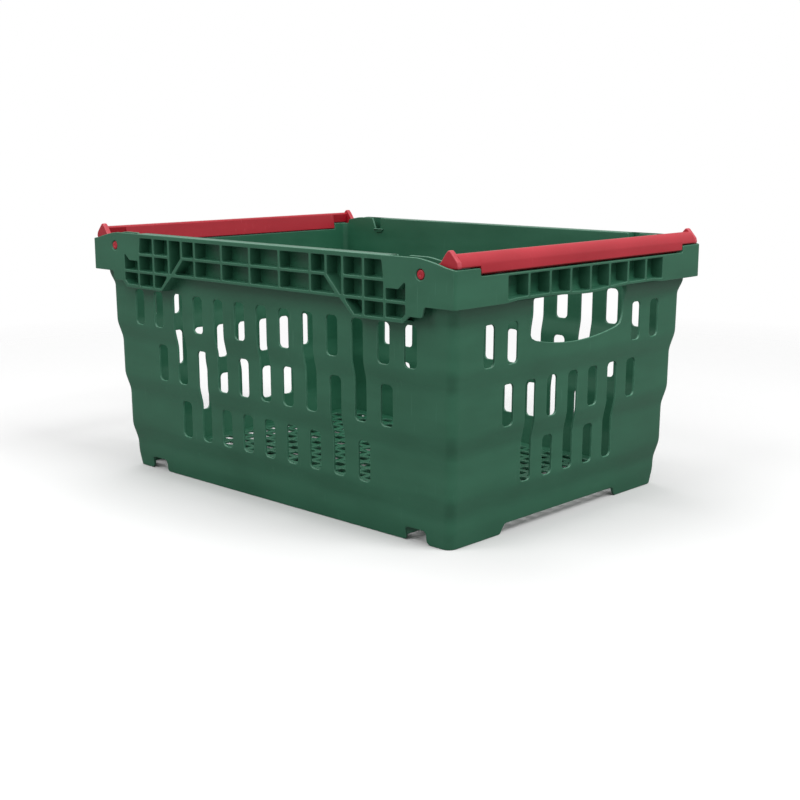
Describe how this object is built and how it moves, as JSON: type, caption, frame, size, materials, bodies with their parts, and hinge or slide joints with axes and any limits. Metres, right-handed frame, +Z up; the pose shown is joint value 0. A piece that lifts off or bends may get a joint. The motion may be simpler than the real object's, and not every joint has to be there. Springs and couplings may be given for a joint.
{
  "type": "stacking crate",
  "caption": "Nesting and stacking plastic crate with stepped perforated walls, ribbed rim and two swing-over arms at its ends.",
  "frame": {"origin": "centre of the footprint, on the surface the crate stands on", "axes": "+X along the length towards the right arm, +Y across the width towards the back, +Z up"},
  "size_m": [0.6, 0.44, 0.3088],
  "materials": {
    "body_plastic": "injection moulded, satin",
    "arm_plastic": "injection moulded, satin"
  },
  "bodies": {
    "crate_body": {"floor_panel": "body_plastic", "floor_rib_frame": "body_plastic", "side_wall_front": "body_plastic", "side_rim_front": "body_plastic", "side_wall_back": "body_plastic", "side_rim_back": "body_plastic", "end_wall_left": "body_plastic", "end_rim_left": "body_plastic", "end_wall_right": "body_plastic", "end_rim_right": "body_plastic", "corner_post_front_left": "body_plastic", "arm_pocket_front_left": "body_plastic", "arm_seat_front_left": "body_plastic", "corner_post_front_right": "body_plastic", "arm_pocket_front_right": "body_plastic", "arm_seat_front_right": "body_plastic", "corner_post_back_left": "body_plastic", "arm_pocket_back_left": "body_plastic", "arm_seat_back_left": "body_plastic", "corner_post_back_right": "body_plastic", "arm_pocket_back_right": "body_plastic", "arm_seat_back_right": "body_plastic"},
    "arm_left": {"bale_arm_left": "arm_plastic"},
    "arm_right": {"bale_arm_right": "arm_plastic"}
  },
  "joints": [
    {"name": "arm_left_swing", "type": "hinge", "parent": "crate_body", "child": "arm_left", "pos_m": [-0.2548, 0, 0.2839], "axis": [0, 1, 0], "range_deg": [0, 144]},
    {"name": "arm_right_swing", "type": "hinge", "parent": "crate_body", "child": "arm_right", "pos_m": [0.2548, 0, 0.2839], "axis": [0, -1, 0], "range_deg": [0, 144]}
  ]
}
